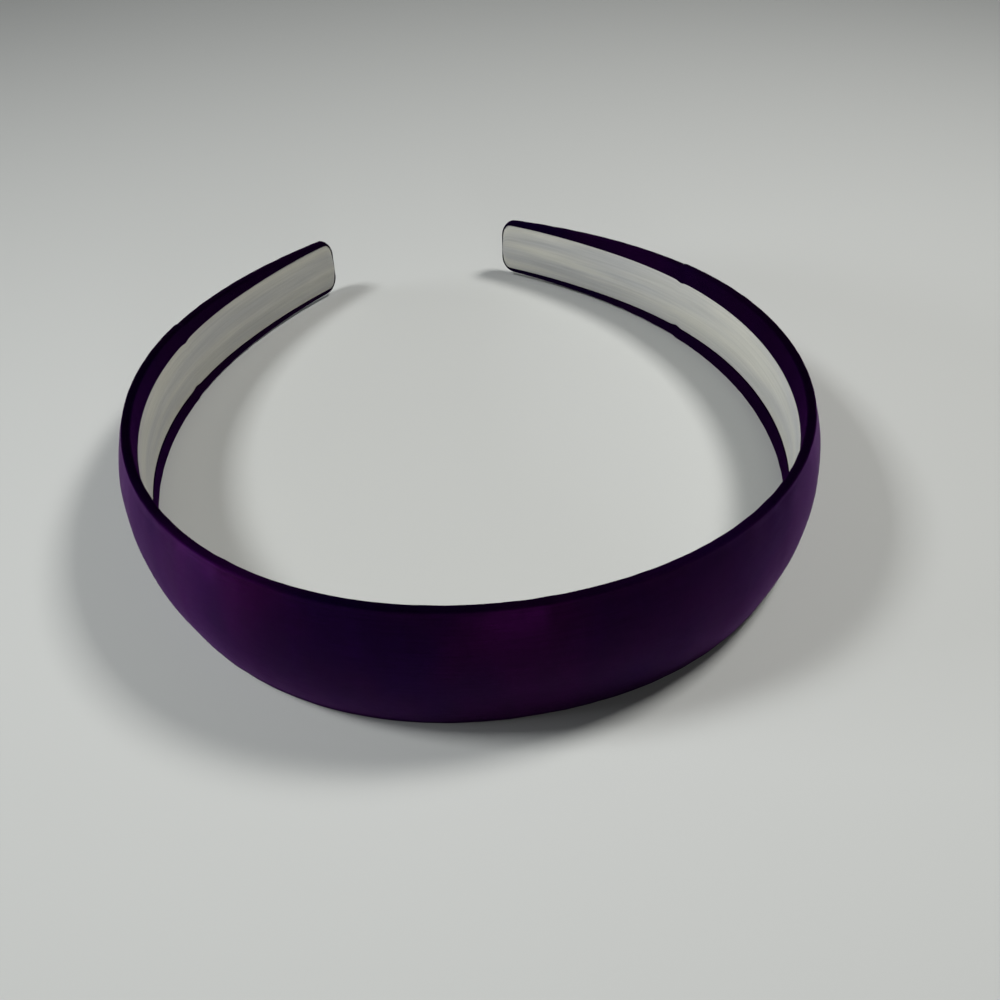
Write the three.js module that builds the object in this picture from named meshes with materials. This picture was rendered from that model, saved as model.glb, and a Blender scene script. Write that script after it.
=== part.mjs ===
// Wide padded headband covered in purple satin, with a pale lining strip on its inner face.
// It lies on one long edge, crown towards -Y and tips towards +Y, as it lies by itself on a table.
// Millimetres, +Z up, origin under the middle of the whole band on the surface that it lies on.

import * as THREE from 'three';

// Plan of the band: the line of its long edges' outer side, seen from above. The padding stands out further.
const PLAN_WIDTH = 128;         // across the widest place
const PLAN_DEPTH = 133.9;       // from the crown back to the tips
const WIDEST_BEHIND_CROWN = 64; // how far behind the crown the band is widest
const TIP_SPREAD = 44.1;        // between the two tips
const TIP_HEADING = 144.5;      // degrees that each arm has turned by at its tip

// The band itself
const CROWN_BAND = 25.4;        // width of the band over the crown, a one inch band
const TIP_BAND = 13.4;          // width of the band just before its rounded end
const EDGE_THICKNESS = 1.8;     // thickness of the covered band at its long edges
const CROWN_PADDING = 2.2;      // rise of the padded outer face over its edges, at the crown
const TIP_PADDING = 1.4;        // the same rise at the tips
const END_ROUNDING = 2.8;       // length over which each end rounds off

// The raised step that runs round each arm, where the padding under the satin begins
const STEP_FROM_TIP = 51;
const STEP_RISE = 0.25;         // how much the band grows on each side at the step
const STEP_RIDGE = 0.15;        // the small ridge on top of that, right at the step
const STEP_RUN = 1.6;           // length that the step takes

// The lining strip, seated in a shallow channel between the turned-over satin borders
const TIP_BORDER = 1.3;         // satin left showing round the lining at the tips
const LINING_THICKNESS = 0.7;
const LINING_CROWN = 0.2;       // the lining's middle stands this much prouder than its sides
const CHANNEL_DEPTH = 0.8;
const CHANNEL_END_RUN = 0.25;   // slope of the channel's end wall
const SEAT_GAP = 0.3;           // clearance between the lining and the satin all round

// How far the soft lower edge gives where the band lies on it
const REST_GIVE = 0.25;

// Lengths of the curve handles that shape the plan, as shares of the lengths that they follow
const PLAN_PULL = {
  crown: 0.63, // of half the width
  side: 0.53,  // of the distance from the crown to the widest place
  tip: 0.56,   // of the distance from the widest place to the tips
};

// Band width along each arm: share of the arm's length, share of the way from tip to crown width
const TAPER = [
  { along: 0, width: 1 },
  { along: 0.25, width: 1 },
  { along: 0.5, width: 0.71 },
  { along: 0.75, width: 0.37 },
  { along: 1, width: 0 },
];

// Shares of the pieces' own sizes
const END_FLAT = 0.45;          // of the band's width, left flat at the very end of a tip
const EDGE_ROUNDNESS = 0.9;     // of half the edge's thickness, the radius that the satin turns on
const BORDER_ROUNDNESS = 0.9;   // of the border's width, the most that this radius takes of it
const CLOSED_CHANNEL = 0.8;     // of the channel's width, between its floor's corners where it has ended

// Fineness of the solids
const FRONT_STATIONS = 18;      // from the crown to the step
const BACK_STATIONS = 7;        // from the step to the rounded end
const FACE_SPANS = 8;           // across the padded outer face
const EDGE_SPANS = 3;           // round each quarter of a long edge
const END_SHARES = [0, 0.4, 0.7, 0.9, 1];
const STEP_SHARES = [-0.5, 0, 0.5];

const SATIN = new THREE.MeshStandardMaterial({ color: 0x2a0a4e, roughness: 0.42, metalness: 0 });
const LINING = new THREE.MeshStandardMaterial({ color: 0xd9d8cf, roughness: 0.5, metalness: 0 });

// One arm's line in plan, from the crown round to the tip, as two smooth stretches
function armLine() {
  const halfWidth = PLAN_WIDTH / 2;
  const tip = new THREE.Vector2(TIP_SPREAD / 2, PLAN_DEPTH);
  const heading = THREE.MathUtils.degToRad(TIP_HEADING);
  const widest = new THREE.Vector2(halfWidth, WIDEST_BEHIND_CROWN);
  const crownPull = new THREE.Vector2(PLAN_PULL.crown * halfWidth, 0);
  const sidePull = PLAN_PULL.side * WIDEST_BEHIND_CROWN;
  const tipPull = PLAN_PULL.tip * (PLAN_DEPTH - WIDEST_BEHIND_CROWN);
  const beforeTip = new THREE.Vector2(Math.cos(heading), Math.sin(heading)).multiplyScalar(-tipPull).add(tip);
  // the bend is as tight after the widest place as before it
  const evenBend = Math.sqrt(Math.abs((halfWidth - beforeTip.x) / (halfWidth - crownPull.x)));
  const front = new THREE.CubicBezierCurve(
    new THREE.Vector2(0, 0), crownPull, new THREE.Vector2(halfWidth, WIDEST_BEHIND_CROWN - sidePull), widest);
  const back = new THREE.CubicBezierCurve(
    widest, new THREE.Vector2(halfWidth, WIDEST_BEHIND_CROWN + sidePull * evenBend), beforeTip, tip);
  const line = new THREE.CurvePath();
  line.add(front);
  line.add(back);
  return line;
}

const ARM = armLine();
const ARM_LENGTH = ARM.getLength();
const STEP_AT = ARM_LENGTH - STEP_FROM_TIP;
const LINING_WIDTH = TIP_BAND - 2 * TIP_BORDER;
const LINING_END = ARM_LENGTH - TIP_BORDER;
const CHANNEL_END = LINING_END + SEAT_GAP;
const EDGE_RADIUS = EDGE_ROUNDNESS * EDGE_THICKNESS / 2;

const taperCurve = new THREE.CubicInterpolant(
  TAPER.map((row) => row.along), TAPER.map((row) => row.width), 1, new Float64Array(1));

// 0 at the tips' side of the step, 1 on the crown's side
function stepShare(along) {
  return 1 - THREE.MathUtils.smoothstep(along, STEP_AT - STEP_RUN / 2, STEP_AT + STEP_RUN / 2);
}

// Growth of the band's surface over its plain size at a distance along the arm
function stepGrowth(along) {
  const ridge = Math.max(0, 1 - Math.abs(along - STEP_AT) / (STEP_RUN / 2));
  return STEP_RISE * stepShare(along) + STEP_RIDGE * ridge;
}

// Half of a strip's width where its end rounds off: full until the rounding, then a quarter ellipse
function roundedHalf(half, toEnd, rounding) {
  const into = THREE.MathUtils.clamp(1 - toEnd / rounding, 0, 1);
  return half * (END_FLAT + (1 - END_FLAT) * Math.sqrt(1 - into * into));
}

function bandHalf(along) {
  const share = taperCurve.evaluate(along / ARM_LENGTH)[0];
  const plain = (TIP_BAND + (CROWN_BAND - TIP_BAND) * share) / 2;
  return roundedHalf(plain, ARM_LENGTH - along, END_ROUNDING) + stepGrowth(along);
}

// A strip that follows the lining: its width and end stand off from the lining's by the same margin
function stripHalf(along, margin) {
  const half = LINING_WIDTH / 2 + margin;
  const rounding = END_ROUNDING * LINING_WIDTH / TIP_BAND;
  return roundedHalf(half, LINING_END + margin - along, rounding);
}

// Half width of the channel, and past its end of the plain strip of inner face that carries on from it
function channelHalf(along) {
  const past = Math.max(along, CHANNEL_END);
  return stripHalf(Math.min(along, CHANNEL_END), SEAT_GAP) * bandHalf(past) / bandHalf(CHANNEL_END);
}

function padding(along) {
  const plain = THREE.MathUtils.lerp(CROWN_PADDING, TIP_PADDING, along / ARM_LENGTH);
  return roundedHalf(plain, ARM_LENGTH - along, END_ROUNDING) + stepGrowth(along);
}

// Quarter turn of a long edge. Each point is [out from the plan line, up from mid width].
function quarterEdge(out, up, radius, fromDegrees, side) {
  return Array.from({ length: EDGE_SPANS + 1 }, (_, i) => {
    const angle = THREE.MathUtils.degToRad(fromDegrees + 90 * i / EDGE_SPANS);
    return [out + radius * Math.cos(angle), side * (up + radius * Math.sin(angle))];
  });
}

// Section through the satin cover: padded face, upper edge, border, channel, border, lower edge
function coverSection(along) {
  const half = bandHalf(along);
  const channel = channelHalf(along);
  const rise = padding(along);
  const inner = -EDGE_THICKNESS;
  const up = half - EDGE_RADIUS;
  const borderRadius = Math.min(EDGE_RADIUS, BORDER_ROUNDNESS * (half - channel));
  const face = Array.from({ length: FACE_SPANS + 1 }, (_, i) => {
    const share = 2 * i / FACE_SPANS - 1;
    return [rise * (1 - share * share), share * up];
  });
  const outerQuarter = quarterEdge(-EDGE_RADIUS, up, EDGE_RADIUS, 0, 1).slice(1);
  const innerQuarter = quarterEdge(inner + borderRadius, half - borderRadius, borderRadius, 90, 1);
  const open = 1 - THREE.MathUtils.clamp((along - CHANNEL_END) / CHANNEL_END_RUN, 0, 1);
  const floorHalf = channel * THREE.MathUtils.lerp(CLOSED_CHANNEL, 1, open);
  const floor = inner + CHANNEL_DEPTH * open;
  const upper = [...outerQuarter, ...innerQuarter, [inner, channel]];
  const lower = upper.map(([out, z]) => [out, -z]).reverse();
  return [...face, ...upper, [floor, floorHalf], [floor, -floorHalf], ...lower];
}

// Section through the lining strip: flat behind, slightly crowned towards the head
function liningSection(along) {
  const half = stripHalf(along, 0);
  const back = -EDGE_THICKNESS + CHANNEL_DEPTH - SEAT_GAP;
  const front = back - LINING_THICKNESS;
  return [
    [back, -half],
    [back, half],
    [front + LINING_CROWN, half],
    [front, half / 2],
    [front, -half / 2],
    [front + LINING_CROWN, -half],
  ];
}

// Evenly spaced distances, the last one left out
function evenly(from, to, count) {
  return Array.from({ length: count }, (_, i) => from + (to - from) * i / count);
}

// Distances from the crown at which the cover's sections stand
function coverStations() {
  const atStep = STEP_SHARES.map((share) => STEP_AT + share * STEP_RUN);
  const roundStart = ARM_LENGTH - END_ROUNDING;
  const rounding = END_SHARES.map((share) => roundStart + END_ROUNDING * share);
  const channelEnd = [CHANNEL_END, CHANNEL_END + CHANNEL_END_RUN];
  const clear = rounding.filter((at) => channelEnd.every((end) => Math.abs(at - end) > CHANNEL_END_RUN / 2));
  return [
    ...evenly(0, atStep[0], FRONT_STATIONS),
    ...atStep,
    ...evenly(atStep[atStep.length - 1], roundStart, BACK_STATIONS).slice(1),
    ...clear,
    ...channelEnd,
  ].sort((a, b) => a - b);
}

function liningStations() {
  const rounding = END_ROUNDING * LINING_WIDTH / TIP_BAND;
  return [
    ...evenly(0, LINING_END - rounding, FRONT_STATIONS + BACK_STATIONS),
    ...END_SHARES.map((share) => LINING_END + rounding * (share - 1)),
  ];
}

// Lean of the whole band towards its tips: seen from the side, it lies on the two places of its lower
// edge, one before and one behind its balance point, that the line between them is lowest
function restLean() {
  const edge = evenly(0, ARM_LENGTH, FRONT_STATIONS + BACK_STATIONS).map((along) => (
    { y: ARM.getPoint(along / ARM_LENGTH).y, half: bandHalf(along) }));
  const weight = edge.reduce((sum, place) => sum + place.half, 0);
  const balance = edge.reduce((sum, place) => sum + place.half * place.y, 0) / weight;
  const ahead = edge.filter((place) => place.y < balance);
  const behind = edge.filter((place) => place.y >= balance);
  const lines = ahead.flatMap((a) => behind.map((b) => {
    const slope = (a.half - b.half) / (b.y - a.y);
    return { slope, height: slope * (balance - a.y) - a.half };
  }));
  return Math.atan(lines.reduce((low, line) => (line.height < low.height ? line : low)).slope);
}

const LEAN = restLean();

// A section point in the plan's frame: out from the plan line, up from mid width, then leaned
function placed(along, side, out, up) {
  const share = Math.min(along / ARM_LENGTH, 1);
  const point = ARM.getPoint(share);
  const tangent = ARM.getTangent(share);
  const x = side * (point.x + tangent.y * out);
  const y = point.y - tangent.x * out;
  return new THREE.Vector3(x, y * Math.cos(LEAN) + up * Math.sin(LEAN), up * Math.cos(LEAN) - y * Math.sin(LEAN));
}

// Rings of section points from the left tip over the crown to the right tip
function bandRings(stations, section) {
  const ring = (along, side) => section(along).map(([out, up]) => placed(along, side, out, up));
  const left = stations.slice(1).reverse().map((along) => ring(along, -1));
  return [...left, ...stations.map((along) => ring(along, 1))];
}

// Closed solid through rings of equal length, capped at both tips by the section that stands there
function loftRings(rings, tipSection) {
  const size = rings[0].length;
  const positions = rings.flatMap((ring) => ring.flatMap((p) => [p.x, p.y, p.z]));
  const index = [];
  for (let r = 0; r + 1 < rings.length; r++) {
    for (let i = 0; i < size; i++) {
      const a = r * size + i;
      const b = r * size + (i + 1) % size;
      index.push(a, a + size, b, b, a + size, b + size);
    }
  }
  const last = (rings.length - 1) * size;
  const outline = tipSection.map(([out, up]) => new THREE.Vector2(out, up));
  for (const [i, j, k] of THREE.ShapeUtils.triangulateShape(outline, [])) {
    index.push(i, j, k, last + k, last + j, last + i);
  }
  const geometry = new THREE.BufferGeometry();
  geometry.setAttribute('position', new THREE.Float32BufferAttribute(positions, 3));
  geometry.setIndex(index);
  geometry.computeVertexNormals();
  return geometry;
}

const coverRings = bandRings(coverStations(), coverSection);
const liningRings = bandRings(liningStations(), liningSection);
const lowest = Math.min(...coverRings.flat().map((p) => p.z));

// Set the band down: the lowest part of the soft edge gives a little and lies flat
for (const p of [...coverRings.flat(), ...liningRings.flat()]) {
  p.z = Math.max(0, p.z - lowest - REST_GIVE);
}

const satinCover = new THREE.Mesh(loftRings(coverRings, coverSection(ARM_LENGTH)), SATIN);
satinCover.name = 'satin_cover';
const lining = new THREE.Mesh(loftRings(liningRings, liningSection(LINING_END)), LINING);
lining.name = 'lining';

const headband = new THREE.Group();
headband.name = 'headband';
headband.add(satinCover, lining);

// Centre the whole band over the origin
const box = new THREE.Box3().setFromObject(headband);
headband.position.set(0, -(box.min.y + box.max.y) / 2, 0);
headband.updateMatrixWorld(true);

export default headband;
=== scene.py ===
"""Wide padded headband covered in purple satin, with a pale lining strip on its inner face.

It lies on one long edge, crown towards -Y and tips towards +Y. Metres, +Z up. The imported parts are
the frame, and the satin cover and the lining are modelled here in the place of their solids.
"""

import math

import bmesh
import bpy
from mathutils import Matrix, Quaternion, Vector, noise


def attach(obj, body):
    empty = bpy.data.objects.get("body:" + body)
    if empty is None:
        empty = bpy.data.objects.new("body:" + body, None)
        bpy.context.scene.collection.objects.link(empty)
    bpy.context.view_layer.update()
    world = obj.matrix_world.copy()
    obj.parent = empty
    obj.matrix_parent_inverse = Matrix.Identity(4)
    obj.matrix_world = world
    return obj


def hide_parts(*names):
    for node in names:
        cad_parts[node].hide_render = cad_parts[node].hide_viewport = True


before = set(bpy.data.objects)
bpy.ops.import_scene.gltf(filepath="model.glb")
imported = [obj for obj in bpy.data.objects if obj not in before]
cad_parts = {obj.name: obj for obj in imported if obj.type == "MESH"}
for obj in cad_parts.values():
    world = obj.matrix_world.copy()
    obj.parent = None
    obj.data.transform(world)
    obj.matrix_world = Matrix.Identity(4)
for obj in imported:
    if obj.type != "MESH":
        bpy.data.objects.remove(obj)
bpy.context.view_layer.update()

# Plan of the band: the line of its long edges' outer side, seen from above
PLAN_WIDTH = 0.128
PLAN_DEPTH = 0.1339
WIDEST_BEHIND_CROWN = 0.064
TIP_SPREAD = 0.0441
TIP_HEADING = math.radians(144.5)
CROWN_PULL = 0.63  # of half the width
SIDE_PULL = 0.53  # of the distance from the crown to the widest place
TIP_PULL = 0.56  # of the distance from the widest place to the tips
LINE_FINENESS = 256  # steps in each stretch of the plan line

# The band's section
CROWN_BAND = 0.0254
TIP_BAND = 0.0134
EDGE_THICKNESS = 0.0018
CROWN_PADDING = 0.0022
TIP_PADDING = 0.0014
END_ROUNDING = 0.0028
END_FLAT = 0.45  # of the band's width, left flat at the very end of a tip
EDGE_TURN = 0.00055  # width and depth of the rounding that the satin turns on at the long edges
# Share of the arm, and share of the way from the tip's width to the crown's
TAPER = [(0, 1), (0.25, 1), (0.5, 0.71), (0.75, 0.37), (1, 0)]

# The raised step that runs round each arm
STEP_FROM_TIP = 0.051
STEP_RISE = 0.00025
STEP_RIDGE = 0.00015
STEP_RUN = 0.0016
STEP_LIP = 0.0004  # how far the satin's border reaches over the ribbon there

# The lining in its channel between the turned-over borders
TIP_BORDER = 0.00115
END_BORDER = 0.00055  # satin left showing at the very ends
LINING_WIDTH = TIP_BAND - 2 * TIP_BORDER
LINING_THICKNESS = 0.0007
LINING_SPREAD = 0.00026  # how far the soft ribbon spreads into the gap on each side
LINING_PILLOW = 0.00035  # how much prouder its middle stands than its sides
LINING_RIDGE = 0.00016  # height of its soft lengthwise crease
RIDGE_BELOW = 0.0012  # how far below the ribbon's middle the crease runs
RIDGE_REACH = 0.0012  # half its width, and as far as it wanders to each side
RIDGE_WANDER = 25  # turns that it takes for each metre
WAVES = (120, 200)  # faint waves of the ribbon for each metre, along it and across
WAVE_SHARE = 0.25  # of the crease's height
LINING_BACK = 0.0013  # behind the plan line
LINING_EDGE = 0.00012  # radius of the ribbon's edges
LINING_SQUARENESS = 0.8  # its ends round off over this share of the way that the band's would
LINING_DROP = 0.0005  # how far below mid width it is glued, except at the tips
DROP_FADE = 0.03  # length over which it comes back to mid width at a tip
CHANNEL_DEPTH = 0.0008
CHANNEL_GAP = 0.0003

# The satin over its padding
PRESSURE = 4
SIM_SCALE = 20  # the band is enlarged by this much while its satin is simulated
SIM_FRAMES = 20
SIM_QUALITY = 5  # steps in each frame
MOST_MOVE = 0.0004
HOLLOW_DEPTH = 0.00016
HOLLOWS = (120, 40)  # for each metre, along the band and across
PUCKER_DEPTH = 0.00007
PUCKERS = (330, 60)  # for each metre, along the band and through its thickness
PUCKER_START = 0.62  # share of the half width where they begin on the padded face
PUCKER_RUN = 0.3  # share of the half width over which they grow to their full depth
INNER_PUCKERS = 0.5  # share of that depth that they have on the inner borders
LOWER_PAINTED_SHADE = 0.0014  # how far up the face from the lower edge the painted shade, with rougher and less glossy satin, reaches before it fades out; it stands for the shadow where the band meets the floor
CORNER_HOLD = 0.0004  # distance of the support lines from a sharp corner

# Where the straight pieces are cut before they are shaped
FACE_CUTS = (0.25, 0.5, 0.75, 0.94)  # shares of half the padded face
RIBBON_CUTS = (0, 0.3, 0.6)  # shares of half the ribbon
END_CUTS = (0, 0.25, 0.5, 0.72, 0.88, 0.96)  # shares of a rounded end
STEP_CUTS = (-1, -0.5, 0, 0.5, 1)  # shares of the step's run, before and after its middle
SPANS_TO_STEP = 34
SPANS_TO_END = 16
RIBBON_SPANS = 60
CHANNEL_CORNER = 0.0002  # distance of the last cut from the channel's end

# Places in the noise, one for each pattern
HOLLOW_LAYER = 2
CREASE_LAYER = 3
WAVE_LAYER = 4
PUCKER_LAYER = 5

# How it lies
REST_LEAN = math.radians(2.513)
REST_GIVE = 0.00025

# The photograph's camera
SENSOR_WIDTH = 36  # millimetres, as is the focal length
FOCAL_LENGTH = 36.14
CAMERA_DISTANCE = 0.1966
CAMERA_ELEVATION = math.radians(43.8)
CAMERA_AZIMUTH = math.radians(11.51)
CAMERA_ROLL = math.radians(-0.5)
CAMERA_TARGET = Vector((0.00316, -0.01592, 0))
NEAREST_SEEN = 0.01
FURTHEST_SEEN = 20

# The lights and the floor
HIGH_SPREAD = 110  # degrees
LIGHTS_AIM = Vector((0, -0.06, 0))  # just behind the crown
FLOOR_SIZE = 6
FLOOR_COLOUR = (0.60, 0.61, 0.59, 1)
ROOM_COLOUR = (0.86, 0.88, 0.90, 1)
ROOM_STRENGTH = 0.03

NEAR = 1e-6
FACING = 0.99  # a face looks in a direction when its normal has this much of it


def start_clean():
    """Leaves object mode's selection empty."""
    bpy.ops.object.select_all(action="DESELECT")


def edit(piece):
    """Opens one piece alone in edit mode."""
    start_clean()
    piece.select_set(True)
    bpy.context.view_layer.objects.active = piece
    bpy.ops.object.mode_set(mode="EDIT")


def done():
    """Goes back to object mode."""
    bpy.ops.object.mode_set(mode="OBJECT")


def pick(piece, test, kind="VERT"):
    """Selects the vertices, edges or faces that pass the test, and nothing else."""
    bpy.ops.mesh.select_mode(type=kind)
    bpy.ops.mesh.select_all(action="DESELECT")
    mesh = bmesh.from_edit_mesh(piece.data)
    parts = {"VERT": mesh.verts, "EDGE": mesh.edges, "FACE": mesh.faces}[kind]
    for part in parts:
        if test(part):
            part.select_set(True)
    mesh.select_flush_mode()
    bmesh.update_edit_mesh(piece.data)


def apply_modifier(piece, kind, **settings):
    """Adds a modifier with these settings and applies it."""
    start_clean()
    piece.select_set(True)
    bpy.context.view_layer.objects.active = piece
    modifier = piece.modifiers.new(kind.lower(), kind)
    for name, value in settings.items():
        setattr(modifier, name, value)
    bpy.ops.object.modifier_apply(modifier=modifier.name)


# The plan line


def draw_plan_line():
    """One smooth line in plan, from the left tip over the crown to the right tip."""
    half = PLAN_WIDTH / 2
    side_pull = SIDE_PULL * WIDEST_BEHIND_CROWN
    tip_pull = TIP_PULL * (PLAN_DEPTH - WIDEST_BEHIND_CROWN)
    tip = Vector((TIP_SPREAD / 2, PLAN_DEPTH, 0))
    before_tip = tip - tip_pull * Vector((math.cos(TIP_HEADING), math.sin(TIP_HEADING), 0))
    crown_pull = Vector((CROWN_PULL * half, 0, 0))
    # With this the line bends as tightly just behind the widest place as just before it
    even_bend = math.sqrt(abs((half - before_tip.x) / (half - crown_pull.x)))
    widest = Vector((half, WIDEST_BEHIND_CROWN, 0))
    before_widest = widest - Vector((0, side_pull, 0))
    after_widest = widest + Vector((0, side_pull * even_bend, 0))
    right = [(before_widest, widest, after_widest), (before_tip, tip, tip)]
    mirror = Vector((-1, 1, 1))
    left = [tuple(mirror * point for point in reversed(row)) for row in reversed(right)]
    start_clean()
    bpy.ops.curve.primitive_bezier_curve_add(location=(0, 0, 0))
    line = bpy.context.object
    line.name = "plan_line"
    line.data.dimensions = "2D"
    line.data.resolution_u = LINE_FINENESS
    points = line.data.splines[0].bezier_points
    points.add(3)
    rows = [*left, (-crown_pull, Vector(), crown_pull), *right]
    for point, (before, place, after) in zip(points, rows):
        point.handle_left_type = "FREE"
        point.handle_right_type = "FREE"
        point.handle_left = before
        point.co = place
        point.handle_right = after
    return line


plan_line = draw_plan_line()
ARM = plan_line.data.splines[0].calc_length() / 2  # from the crown to a tip
STEP_AT = ARM - STEP_FROM_TIP
LINING_END = ARM - END_BORDER
CHANNEL_END = LINING_END + CHANNEL_GAP
FULL_HALF = CROWN_BAND / 2 + STEP_RISE
FACE_HALF = FULL_HALF - EDGE_TURN
CHANNEL_HALF = LINING_WIDTH / 2 + CHANNEL_GAP
LINING_ROUNDING = LINING_SQUARENESS * END_ROUNDING * LINING_WIDTH / TIP_BAND


# Sizes along an arm, from the distance to the crown


def smooth(share):
    """Eases from 0 to 1."""
    share = min(1, max(0, share))
    return share * share * (3 - 2 * share)


def taper_slope(i):
    """Slope of the taper's line at one of its rows, from the rows on both sides."""
    if i in (0, len(TAPER) - 1):
        return None
    (x0, y0), (x1, y1), (x2, y2) = TAPER[i - 1 : i + 2]
    before, after = (y1 - y0) / (x1 - x0), (y2 - y1) / (x2 - x1)
    return (before * (x2 - x1) + after * (x1 - x0)) / (x2 - x0)


def taper(share):
    """Share of the way from the tip's width to the crown's."""
    share = min(1, max(0, share))
    i = max(k for k in range(len(TAPER) - 1) if TAPER[k][0] <= share)
    (x0, y0), (x1, y1) = TAPER[i], TAPER[i + 1]
    run, rise = x1 - x0, y1 - y0
    start, end = taper_slope(i), taper_slope(i + 1)
    start = (3 * rise / run - end) / 2 if start is None else start
    end = (3 * rise / run - start) / 2 if end is None else end
    t = (share - x0) / run
    blend = t * t * (3 - 2 * t)
    return y0 + rise * blend + run * (start * t * (1 - t) ** 2 - end * t * t * (1 - t))


def rounded(full, to_end, rounding):
    """A size where the strip's end rounds off: full until the rounding, then a quarter ellipse."""
    into = min(1, max(0, 1 - to_end / rounding))
    return full * (END_FLAT + (1 - END_FLAT) * math.sqrt(1 - into * into))


def step_growth(along):
    """How far the band's surface stands proud of its plain size: a small ridge, and the rise before it."""
    ridge = max(0, 1 - abs(along - STEP_AT) / (STEP_RUN / 2))
    before = 1 - smooth((along - STEP_AT) / STEP_RUN + 0.5)
    return STEP_RISE * before + STEP_RIDGE * ridge


def band_half(along):
    """Half the band's width there."""
    plain = (TIP_BAND + (CROWN_BAND - TIP_BAND) * taper(along / ARM)) / 2
    return rounded(plain, ARM - along, END_ROUNDING) + step_growth(along)


def padding(along):
    """How far the middle of the padded face stands out from its edges there."""
    plain = CROWN_PADDING + (TIP_PADDING - CROWN_PADDING) * along / ARM
    return rounded(plain, ARM - along, END_ROUNDING) + step_growth(along)


def strip_half(along, margin):
    """Half width of a strip that follows the lining's outline at a margin."""
    return rounded(LINING_WIDTH / 2 + margin, LINING_END + margin - along, LINING_ROUNDING)


def step_lip(along):
    """How far each border reaches over the ribbon there."""
    return STEP_LIP * max(0, 1 - abs(along - STEP_AT) / STEP_RUN)


def lining_drop(along):
    """How far below mid width the ribbon and its channel run there."""
    return LINING_DROP * smooth((ARM - along) / DROP_FADE)


def even_steps(start, end, count):
    """Evenly spaced places from the start on, without the end."""
    return [start + (end - start) * i / count for i in range(count)]


# Modelling


def add_straight_bar(name, end, thickness, width, y):
    """A bar along X from one tip to the other, with the crown at its middle."""
    start_clean()
    bpy.ops.mesh.primitive_cube_add(size=1, location=(ARM, y, 0), scale=(2 * end, thickness, width))
    bar = bpy.context.object
    bar.name = name
    bar.data.name = name
    bpy.ops.object.transform_apply(location=True, rotation=False, scale=True)
    return bar


def cut_across(distances):
    """Cuts the whole piece at these distances from the crown, on both arms."""
    for along in distances:
        for x in {ARM - along, ARM + along}:
            bpy.ops.mesh.select_all(action="SELECT")
            bpy.ops.mesh.bisect(plane_co=(x, 0, 0), plane_no=(1, 0, 0))


def cut_lengthwise(piece, side, heights):
    """Cuts the outer (-1) or inner (1) face at these heights above and below mid width."""
    for height in heights:
        for z in {height, -height}:
            pick(piece, lambda face: face.normal.y * side > FACING, "FACE")
            bpy.ops.mesh.bisect(plane_co=(0, 0, z), plane_no=(0, 0, 1))


def unwrap_along(piece):
    """Flat cloth coordinates in metres: u along the band, v across it."""
    edit(piece)
    bpy.ops.mesh.select_all(action="SELECT")
    bpy.ops.uv.cube_project(cube_size=1, correct_aspect=False)
    done()
    piece.data.uv_layers[0].name = "cloth"


def model_satin_cover():
    """The satin: a straight bar is cut and shaped, its padding filled, and the whole bent round."""
    middle = EDGE_THICKNESS / 2
    cover = add_straight_bar("padded_satin_cover", ARM, EDGE_THICKNESS, 2 * FULL_HALF, middle)
    edit(cover)
    pick(cover, lambda e: abs(e.verts[0].co.x - e.verts[1].co.x) > ARM, "EDGE")
    bpy.ops.mesh.bevel(offset=EDGE_TURN, segments=3, affect="EDGES")
    face_lines = [FACE_HALF * share for share in FACE_CUTS]
    border_lines = [CHANNEL_HALF + CORNER_HOLD, FACE_HALF - CORNER_HOLD]
    cut_lengthwise(cover, -1, [0, *face_lines])
    cut_lengthwise(cover, 1, [0, CHANNEL_HALF - CORNER_HOLD, CHANNEL_HALF, *border_lines])
    cut_across(cover_distances())
    done()
    unwrap_along(cover)
    edit(cover)
    sink_channel(cover)
    shape_arms(cover)
    done()
    refine(cover, 1)
    fill_padding(cover)
    refine(cover, 1)
    work_the_satin(cover)
    bend(cover)
    return cover


def step_places():
    """Where the pieces are cut across so that the step shows."""
    return [STEP_AT + share * STEP_RUN for share in STEP_CUTS]


def cover_distances():
    """Where the cover is cut across: evenly to the step, at the step, evenly on, and at the tip."""
    step = step_places()
    round_start = ARM - END_ROUNDING
    tip = [round_start + END_ROUNDING * share for share in END_CUTS]
    return [
        0,
        *even_steps(0, step[0], SPANS_TO_STEP)[1:],
        *step,
        *even_steps(step[-1], round_start, SPANS_TO_END)[1:],
        *tip,
        CHANNEL_END,
        CHANNEL_END - CHANNEL_CORNER,
    ]


def sink_channel(cover):
    """Sinks the shallow channel that the lining is seated in."""

    def in_channel(face):
        middle = face.calc_center_median()
        within = abs(middle.z) < CHANNEL_HALF and abs(middle.x - ARM) < CHANNEL_END
        return within and face.normal.y > FACING

    pick(cover, in_channel, "FACE")
    bpy.ops.mesh.extrude_region_move(TRANSFORM_OT_translate={"value": (0, -CHANNEL_DEPTH, 0)})


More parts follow.
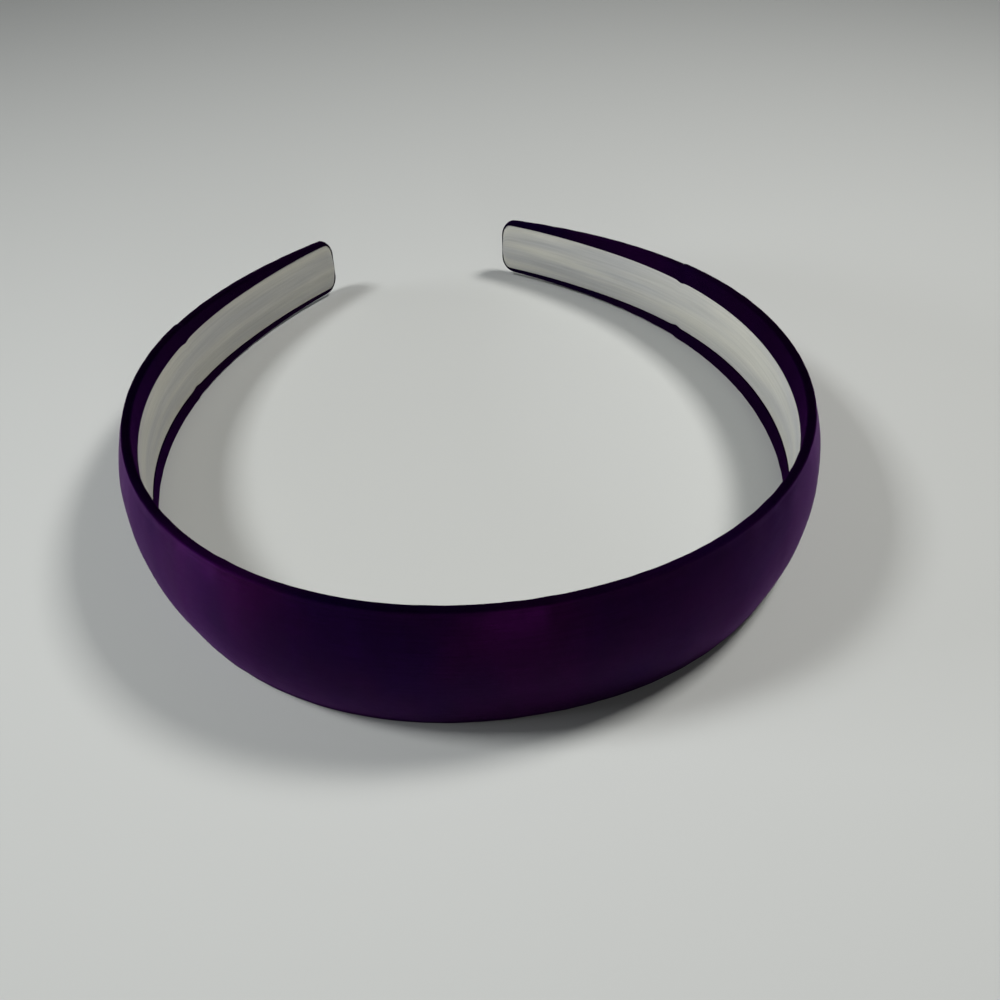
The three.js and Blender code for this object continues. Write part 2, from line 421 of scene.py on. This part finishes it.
def shape_arms(cover):
    """Crowns the padded face and gives every place along the arms its own width and rise."""
    mesh = bmesh.from_edit_mesh(cover.data)
    for v in mesh.verts:
        along = abs(v.co.x - ARM)
        half = band_half(along)
        up = abs(v.co.z)
        side = math.copysign(1, v.co.z)
        channel = strip_half(min(along, CHANNEL_END - NEAR), CHANNEL_GAP) - step_lip(along)
        if v.co.y < NEAR and up < FACE_HALF + NEAR:  # the padded face
            share = up / FACE_HALF
            v.co.y = -padding(along) * (1 - share * share)
            v.co.z = side * share * (half - EDGE_TURN)
        elif up < CHANNEL_HALF + NEAR:  # the channel and its rims
            v.co.z = v.co.z * channel / CHANNEL_HALF - lining_drop(along)
        elif up > FACE_HALF - NEAR:  # the turned edges
            v.co.z += side * (half - FULL_HALF)
        else:  # the inner borders
            share = (up - CHANNEL_HALF) / (FACE_HALF - CHANNEL_HALF)
            v.co.z = side * (channel + share * (half - EDGE_TURN - channel))
            v.co.z -= (1 - share) * lining_drop(along)
    bmesh.update_edit_mesh(cover.data)


def fill_padding(cover):
    """Lets the padding press the outer face's satin out from its held edges, as simulated cloth."""
    before = [v.co.copy() for v in cover.data.vertices]
    held = cover.vertex_groups.new(name="held")
    held.add([v.index for v in cover.data.vertices if v.co.y > -CORNER_HOLD / 2], 1, "REPLACE")
    cover.data.transform(Matrix.Scale(SIM_SCALE, 4))
    cloth = cover.modifiers.new("padding", "CLOTH")
    cloth.settings.quality = SIM_QUALITY
    cloth.settings.vertex_group_mass = held.name
    cloth.settings.use_pressure = True
    cloth.settings.uniform_pressure_force = PRESSURE
    cloth.settings.effector_weights.gravity = 0
    cloth.collision_settings.use_collision = False
    cloth.point_cache.frame_end = SIM_FRAMES
    for frame_number in range(1, SIM_FRAMES + 1):
        bpy.context.scene.frame_set(frame_number)
    start_clean()
    cover.select_set(True)
    bpy.context.view_layer.objects.active = cover
    bpy.ops.object.modifier_apply(modifier=cloth.name)
    bpy.context.scene.frame_set(1)
    cover.vertex_groups.clear()
    cover.data.transform(Matrix.Scale(1 / SIM_SCALE, 4))
    for v, old in zip(cover.data.vertices, before):
        move = v.co - old
        v.co = old + move * min(1, MOST_MOVE / max(move.length, NEAR))


def painted_shade_share(place):
    """How much painted shade a place gets: 0 on the padded face, 1 on the rounded long edges and the inner
    side, and fading in further up from the lower edge as painted shadow where the band meets the floor.
    """
    edge = band_half(abs(place.x - ARM)) - EDGE_TURN
    shade = LOWER_PAINTED_SHADE if place.z < 0 else 0
    turn = smooth((abs(place.z) - edge + shade) / (EDGE_TURN + shade))
    return max(turn, smooth((place.y - EDGE_THICKNESS / 2) / CORNER_HOLD))


def pucker_share(place):
    """How strongly the satin puckers at a place: at the edges and on the borders, not in the channel."""
    along = abs(place.x - ARM)
    edge = band_half(along) - EDGE_TURN
    up = abs(place.z)
    behind_ribbon = abs(place.z + lining_drop(along)) < CHANNEL_HALF + CORNER_HOLD / 2
    if behind_ribbon and place.y > EDGE_THICKNESS - CHANNEL_DEPTH - CORNER_HOLD:
        return 0
    if place.y > EDGE_THICKNESS - CORNER_HOLD and up < edge - EDGE_TURN:
        return INNER_PUCKERS
    return smooth((up / edge - PUCKER_START) / PUCKER_RUN)


def work_the_satin(cover):
    """Gives the drawn satin soft hollows and small puckers round its edges, and records where shade is
    painted on its edges and inner side.
    """
    cover.data.attributes.new("painted_shade_mask", "FLOAT", "POINT")
    marks = cover.data.attributes["painted_shade_mask"].data
    normals = [v.normal.copy() for v in cover.data.vertices]
    for v, normal in zip(cover.data.vertices, normals):
        # painted shade mask, read by the satin material
        marks[v.index].value = painted_shade_share(v.co)
        on_face = smooth(-v.co.y / CORNER_HOLD)
        hollow = noise.noise(Vector((v.co.x * HOLLOWS[0], v.co.z * HOLLOWS[1], HOLLOW_LAYER)))
        layer = math.copysign(PUCKER_LAYER, v.co.z)
        pucker = noise.noise(Vector((v.co.x * PUCKERS[0], v.co.y * PUCKERS[1], layer)))
        near_edge = pucker_share(v.co)
        v.co += normal * (HOLLOW_DEPTH * hollow * on_face + PUCKER_DEPTH * pucker * near_edge)


def model_lining():
    """The ribbon: rounded edges, a slightly pillowed face and rounded ends."""
    half = LINING_WIDTH / 2 + LINING_SPREAD
    end = LINING_END + LINING_SPREAD
    middle = LINING_BACK + LINING_THICKNESS / 2
    lining = add_straight_bar("lining_strip", end, LINING_THICKNESS, 2 * half, middle)
    edit(lining)
    pick(lining, lambda e: abs(e.verts[0].co.x - e.verts[1].co.x) > ARM, "EDGE")
    bpy.ops.mesh.bevel(offset=LINING_EDGE, segments=2, affect="EDGES")
    for side in (1, -1):
        face_lines = [half * share for share in RIBBON_CUTS]
        cut_lengthwise(lining, side, [*face_lines, half - CORNER_HOLD])
    round_start = end - LINING_ROUNDING
    tip = [round_start + LINING_ROUNDING * share for share in END_CUTS]
    cut_across([0, *even_steps(0, round_start, RIBBON_SPANS)[1:], *step_places(), *tip])
    done()
    unwrap_along(lining)
    for v in lining.data.vertices:
        along = abs(v.co.x - ARM)
        if v.co.y > middle:
            share = min(1, abs(v.co.z) / half)
            v.co.y -= LINING_PILLOW * share * share
        v.co.z *= (strip_half(min(along, end - NEAR), LINING_SPREAD) - step_lip(along)) / half
        v.co.z -= lining_drop(along)
    refine(lining, 1)
    crease_ribbon(lining, middle)
    bend(lining)
    return lining


def crease_ribbon(lining, middle):
    """A soft crease that wanders along the ribbon's face, and faint waves where the glue pulls at it."""
    for v in lining.data.vertices:
        if v.co.y > middle:
            along = abs(v.co.x - ARM)
            wander = noise.noise(Vector((v.co.x * RIDGE_WANDER, CREASE_LAYER, 0))) * RIDGE_REACH
            off = (v.co.z + lining_drop(along) + RIDGE_BELOW + wander) / RIDGE_REACH
            wave = noise.noise(Vector((v.co.x * WAVES[0], v.co.z * WAVES[1], WAVE_LAYER)))
            v.co.y += LINING_RIDGE * (math.exp(-off * off) + WAVE_SHARE * wave)


def refine(piece, levels):
    """Subdivides a piece into finer, smoother faces."""
    apply_modifier(piece, "SUBSURF", levels=levels, render_levels=levels, use_limit_surface=False)


def bend(piece):
    """Bends the straight piece along the plan line and shades it smooth."""
    apply_modifier(piece, "CURVE", object=plan_line, deform_axis="POS_X")
    bpy.ops.object.shade_smooth()


def lay_down(cover, others):
    """Leans the bent band towards its tips, sets it on the floor and lets its soft edge give."""
    pieces = [cover, *others]
    for piece in pieces:
        piece.rotation_euler = (-REST_LEAN, 0, 0)
    start_clean()
    for piece in pieces:
        piece.select_set(True)
    bpy.ops.object.transform_apply(location=False, rotation=True, scale=False)
    ys = [v.co.y for v in cover.data.vertices]
    lowest = min(v.co.z for v in cover.data.vertices)
    for piece in pieces:
        piece.location = (0, -(min(ys) + max(ys)) / 2, -lowest - REST_GIVE)
    bpy.ops.object.transform_apply(location=True, rotation=False, scale=False)
    edit(cover)
    pick(cover, lambda v: v.co.z < 0)
    bpy.ops.transform.resize(value=(1, 1, 0), center_override=(0, 0, 0))
    done()


# Materials. A pattern's scale says how often it repeats in a metre

DEEP_PURPLE = (0.0110, 0.0008, 0.0185)
BLUE_VIOLET = (0.0072, 0.0008, 0.0210)
MAGENTA_PURPLE = (0.0165, 0.0009, 0.0205)
# Painted shade: the satin's colour is multiplied by this on its long edges, its inner side and along its
# lower edge
PAINTED_EDGE_SHADE = (0.36, 0.5, 0.5)
TURNED_ROUGHER = 0.3
FACE_METALLIC = 0.6
SHADED_METALLIC = 0.92  # raised with the painted shade, so the shaded places lose their pale reflections too
SATIN_ROUGHNESS = (0.28, 0.42)
PATCHES = (48, 48, 30)
PATCH_SHIFT = (19.5, 6.4, 29.4)  # brings the bluer patch left of the crown
SATIN_THREADS = (120, 3000, 1)
SATIN_WEAR = (230, 55, 1)
SATIN_FLOAT = 0.0009  # length of one thread where it shows on the satin's face
SATIN_PITCH = 0.00015  # from one thread to the next
SATIN_THREAD_DEPTH = 0.00003
WEAVE_DEPTH = 0.00002
THREAD_CELLS = 6  # one thread is this many cells of the weave's pattern long
THREAD_SHIFT = 0.4  # every second row starts this share of a thread further on
THREAD_GAP = 0.12  # of a cell

RIBBON_GREY = (0.42, 0.42, 0.405)
RIBBON_YELLOWED = (0.53, 0.52, 0.455)
RIBBON_ROUGHNESS = (0.34, 0.48)
RIBBON_AGE = (22, 280, 1)
RIBBON_THREADS = (60, 2200, 1)
RIBBON_FLOAT = 0.0006
RIBBON_PITCH = 0.00018
RIBBON_THREAD_DEPTH = 0.00004


class Finish:
    """A material under construction, with short ways to add and join its nodes."""

    def __init__(self, name):
        self.material = bpy.data.materials.new(name)
        self.material.use_nodes = True
        self.shader = self.material.node_tree.nodes["Principled BSDF"]

    def node(self, kind, **settings):
        node = self.material.node_tree.nodes.new(kind)
        for name, value in settings.items():
            setattr(node, name, value)
        return node

    def join(self, source, target):
        self.material.node_tree.links.new(source, target)

    def fix(self, **values):
        """Sets the shader's sockets to constants."""
        for name, value in values.items():
            self.shader.inputs[name.replace("_", " ")].default_value = value

    def place(self):
        return self.node("ShaderNodeTexCoord").outputs["Object"]

    def cloth(self):
        return self.node("ShaderNodeUVMap", uv_map="cloth").outputs["UV"]

    def scaled(self, source, scale, shift=(0, 0, 0)):
        mapping = self.node("ShaderNodeMapping")
        mapping.inputs["Scale"].default_value = scale
        mapping.inputs["Location"].default_value = shift
        self.join(source, mapping.inputs["Vector"])
        return mapping.outputs["Vector"]

    def noise(self, source, scale, detail=2, shift=(0, 0, 0)):
        texture = self.node("ShaderNodeTexNoise")
        texture.inputs["Scale"].default_value = 1
        texture.inputs["Detail"].default_value = detail
        self.join(self.scaled(source, scale, shift), texture.inputs["Vector"])
        return texture.outputs[0]

    def weave(self, source, length, pitch):
        """Threads that lie side by side, every second row starting further along."""
        texture = self.node("ShaderNodeTexBrick", offset=THREAD_SHIFT, offset_frequency=2)
        texture.inputs["Color1"].default_value = (1, 1, 1, 1)
        texture.inputs["Color2"].default_value = (0.8, 0.8, 0.8, 1)
        texture.inputs["Mortar"].default_value = (0, 0, 0, 1)
        texture.inputs["Scale"].default_value = 1
        texture.inputs["Brick Width"].default_value = THREAD_CELLS
        texture.inputs["Row Height"].default_value = 1
        texture.inputs["Mortar Size"].default_value = THREAD_GAP
        texture.inputs["Mortar Smooth"].default_value = 1
        scale = (THREAD_CELLS / length, 1 / pitch, 1)
        self.join(self.scaled(source, scale), texture.inputs["Vector"])
        return texture.outputs["Color"]

    def ramp(self, source, stops):
        """Colours at shares from 0 to 1."""
        ramp = self.node("ShaderNodeValToRGB")
        while len(ramp.color_ramp.elements) < len(stops):
            ramp.color_ramp.elements.new(0.5)
        for element, (share, colour) in zip(ramp.color_ramp.elements, stops):
            element.position = share
            element.color = (*colour, 1)
        self.join(source, ramp.inputs["Fac"])
        return ramp.outputs["Color"]

    def times(self, first, second):
        mix = self.node("ShaderNodeMix", data_type="RGBA", blend_type="MULTIPLY")
        mix.inputs["Factor"].default_value = 1
        self.join(first, mix.inputs[6])
        self.join(second, mix.inputs[7])
        return mix.outputs[2]

    def ranged(self, source, low, high):
        ranger = self.node("ShaderNodeMapRange")
        ranger.inputs["To Min"].default_value = low
        ranger.inputs["To Max"].default_value = high
        self.join(source, ranger.inputs["Value"])
        return ranger.outputs["Result"]

    def bump(self, height, distance, before=None):
        bump = self.node("ShaderNodeBump")
        bump.inputs["Distance"].default_value = distance
        self.join(height, bump.inputs["Height"])
        if before:
            self.join(before, bump.inputs["Normal"])
        return bump.outputs["Normal"]


def grey(level):
    return (level, level, level)


def satin_material():
    """Dark purple satin: blue and magenta patches, fine lengthwise threads, a violet lustre, and painted
    shade on its edges and inner side.
    """
    satin = Finish("purple_satin")
    shades = satin.noise(satin.place(), PATCHES, detail=3, shift=PATCH_SHIFT)
    colour = satin.ramp(shades, [(0.36, BLUE_VIOLET), (0.5, DEEP_PURPLE), (0.64, MAGENTA_PURPLE)])
    threads = satin.noise(satin.cloth(), SATIN_THREADS, detail=2)
    colour = satin.times(colour, satin.ramp(threads, [(0.3, grey(0.84)), (0.7, grey(1.18))]))
    worn = satin.noise(satin.cloth(), SATIN_WEAR, detail=4)
    colour = satin.times(colour, satin.ramp(worn, [(0.3, grey(0.8)), (0.7, grey(1.2))]))
    # Painted shade: darker colour, more roughness and less pale reflection where the mask is 1
    shade_mask = satin.node("ShaderNodeAttribute", attribute_name="painted_shade_mask").outputs["Fac"]
    colour = satin.times(colour, satin.ramp(shade_mask, [(0, grey(1)), (1, PAINTED_EDGE_SHADE)]))
    satin.join(colour, satin.shader.inputs["Base Color"])
    roughness = satin.node("ShaderNodeMath", operation="ADD")
    satin.join(satin.ranged(worn, *SATIN_ROUGHNESS), roughness.inputs[0])
    satin.join(satin.ranged(shade_mask, 0, TURNED_ROUGHER), roughness.inputs[1])
    satin.join(roughness.outputs[0], satin.shader.inputs["Roughness"])
    weave = satin.bump(satin.weave(satin.cloth(), SATIN_FLOAT, SATIN_PITCH), WEAVE_DEPTH)
    satin.join(satin.bump(threads, SATIN_THREAD_DEPTH, weave), satin.shader.inputs["Normal"])
    tangent = satin.node("ShaderNodeTangent", direction_type="UV_MAP", uv_map="cloth")
    satin.join(tangent.outputs["Tangent"], satin.shader.inputs["Tangent"])
    satin.join(satin.ranged(shade_mask, FACE_METALLIC, SHADED_METALLIC), satin.shader.inputs["Metallic"])
    satin.fix(
        Specular_IOR_Level=0.1,
        Specular_Tint=(0.7, 0.08, 1, 1),
        Anisotropic=0.8,
        Anisotropic_Rotation=0.25,
        Sheen_Weight=0.02,
        Sheen_Roughness=0.4,
        Sheen_Tint=(0.6, 0.1, 0.9, 1),
    )
    return satin.material


def lining_material():
    """Off-white ribbon with a soft lustre, faint lengthwise threads and a slight yellowing."""
    ribbon = Finish("pale_ribbon")
    age = ribbon.noise(ribbon.cloth(), RIBBON_AGE, detail=3)
    colour = ribbon.ramp(age, [(0.36, RIBBON_GREY), (0.64, RIBBON_YELLOWED)])
    threads = ribbon.noise(ribbon.cloth(), RIBBON_THREADS, detail=2)
    colour = ribbon.times(colour, ribbon.ramp(threads, [(0.3, grey(0.9)), (0.7, grey(1.05))]))
    ribbon.join(colour, ribbon.shader.inputs["Base Color"])
    ribbon.join(ribbon.ranged(age, *RIBBON_ROUGHNESS), ribbon.shader.inputs["Roughness"])
    weave = ribbon.bump(ribbon.weave(ribbon.cloth(), RIBBON_FLOAT, RIBBON_PITCH), WEAVE_DEPTH)
    ribbon.join(ribbon.bump(threads, RIBBON_THREAD_DEPTH, weave), ribbon.shader.inputs["Normal"])
    ribbon.fix(Sheen_Weight=0.1, Sheen_Roughness=0.5)
    return ribbon.material


def floor_material():
    floor = Finish("pale_floor")
    floor.fix(Base_Color=FLOOR_COLOUR, Roughness=0.9, Specular_IOR_Level=0.1)
    return floor.material


def dress(piece, material, node):
    """Gives a piece its finish, and puts it in the place of its solid."""
    piece.data.materials.clear()
    piece.data.materials.append(material)
    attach(piece, "root")
    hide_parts(node)


# The setting


def add_camera():
    """The photograph's view: from above the front, a little to the left."""
    heading = Vector((math.sin(CAMERA_AZIMUTH), math.cos(CAMERA_AZIMUTH), 0))
    back = -heading * math.cos(CAMERA_ELEVATION) + Vector((0, 0, math.sin(CAMERA_ELEVATION)))
    start_clean()
    bpy.ops.object.camera_add(location=CAMERA_TARGET + back * CAMERA_DISTANCE)
    camera = bpy.context.object
    camera.rotation_mode = "QUATERNION"
    turn = Quaternion((0, 0, 1), CAMERA_ROLL)
    camera.rotation_quaternion = (-back).to_track_quat("-Z", "Y") @ turn
    camera.data.lens = FOCAL_LENGTH
    camera.data.sensor_width = SENSOR_WIDTH
    camera.data.clip_start = NEAREST_SEEN
    camera.data.clip_end = FURTHEST_SEEN
    bpy.context.scene.camera = camera


def add_floor():
    start_clean()
    bpy.ops.mesh.primitive_plane_add(size=FLOOR_SIZE, location=(0, 0, 0))
    floor = bpy.context.object
    floor.name = "floor"
    floor.data.materials.append(floor_material())


def towards(azimuth, elevation):
    """Direction at degrees from the front (-Y) round to the right (+X), and degrees above the floor."""
    azimuth, elevation = math.radians(azimuth), math.radians(elevation)
    level = Vector((math.sin(azimuth), -math.cos(azimuth), 0)) * math.cos(elevation)
    return level + Vector((0, 0, math.sin(elevation)))


def add_light(name, direction, distance, size, watts, colour, spread=180):
    """A soft square light at a distance in a direction, turned to the front of the band."""
    start_clean()
    place = direction * distance
    bpy.ops.object.light_add(type="AREA", location=place)
    light = bpy.context.object
    light.name = name
    light.rotation_mode = "QUATERNION"
    light.rotation_quaternion = (LIGHTS_AIM - place).to_track_quat("-Z", "Y")
    light.data.spread = math.radians(spread)
    light.data.size = size
    light.data.energy = watts
    light.data.color = colour


def light_the_scene():
    """Two high lights, a far low window on the left, a weak one in front, and a faint room."""
    world = bpy.data.worlds.new("soft_room")
    world.use_nodes = True
    room = world.node_tree.nodes["Background"]
    room.inputs["Color"].default_value = ROOM_COLOUR
    room.inputs["Strength"].default_value = ROOM_STRENGTH
    bpy.context.scene.world = world
    high = {"distance": 0.6, "size": 0.13, "spread": HIGH_SPREAD}
    low = {"distance": 9, "size": 3.2}
    front = {"distance": 0.9, "size": 0.2}
    add_light("high_left", towards(-96, 51), watts=0.62, colour=(0.97, 0.99, 1.0), **high)
    add_light("high_right", towards(102, 58), watts=0.76, colour=(1.0, 0.99, 0.97), **high)
    add_light("window_low_left", towards(-97, 7), watts=520, colour=(0.9, 0.94, 1.0), **low)
    add_light("window_in_front", towards(2, 12), watts=0.9, colour=(0.98, 0.98, 1.0), **front)
    bpy.context.scene.view_settings.view_transform = "Standard"


add_camera()
satin_cover = model_satin_cover()
lining_strip = model_lining()
lay_down(satin_cover, [lining_strip])
bpy.data.objects.remove(plan_line)
dress(satin_cover, satin_material(), "satin_cover")
dress(lining_strip, lining_material(), "lining")
add_floor()
light_the_scene()
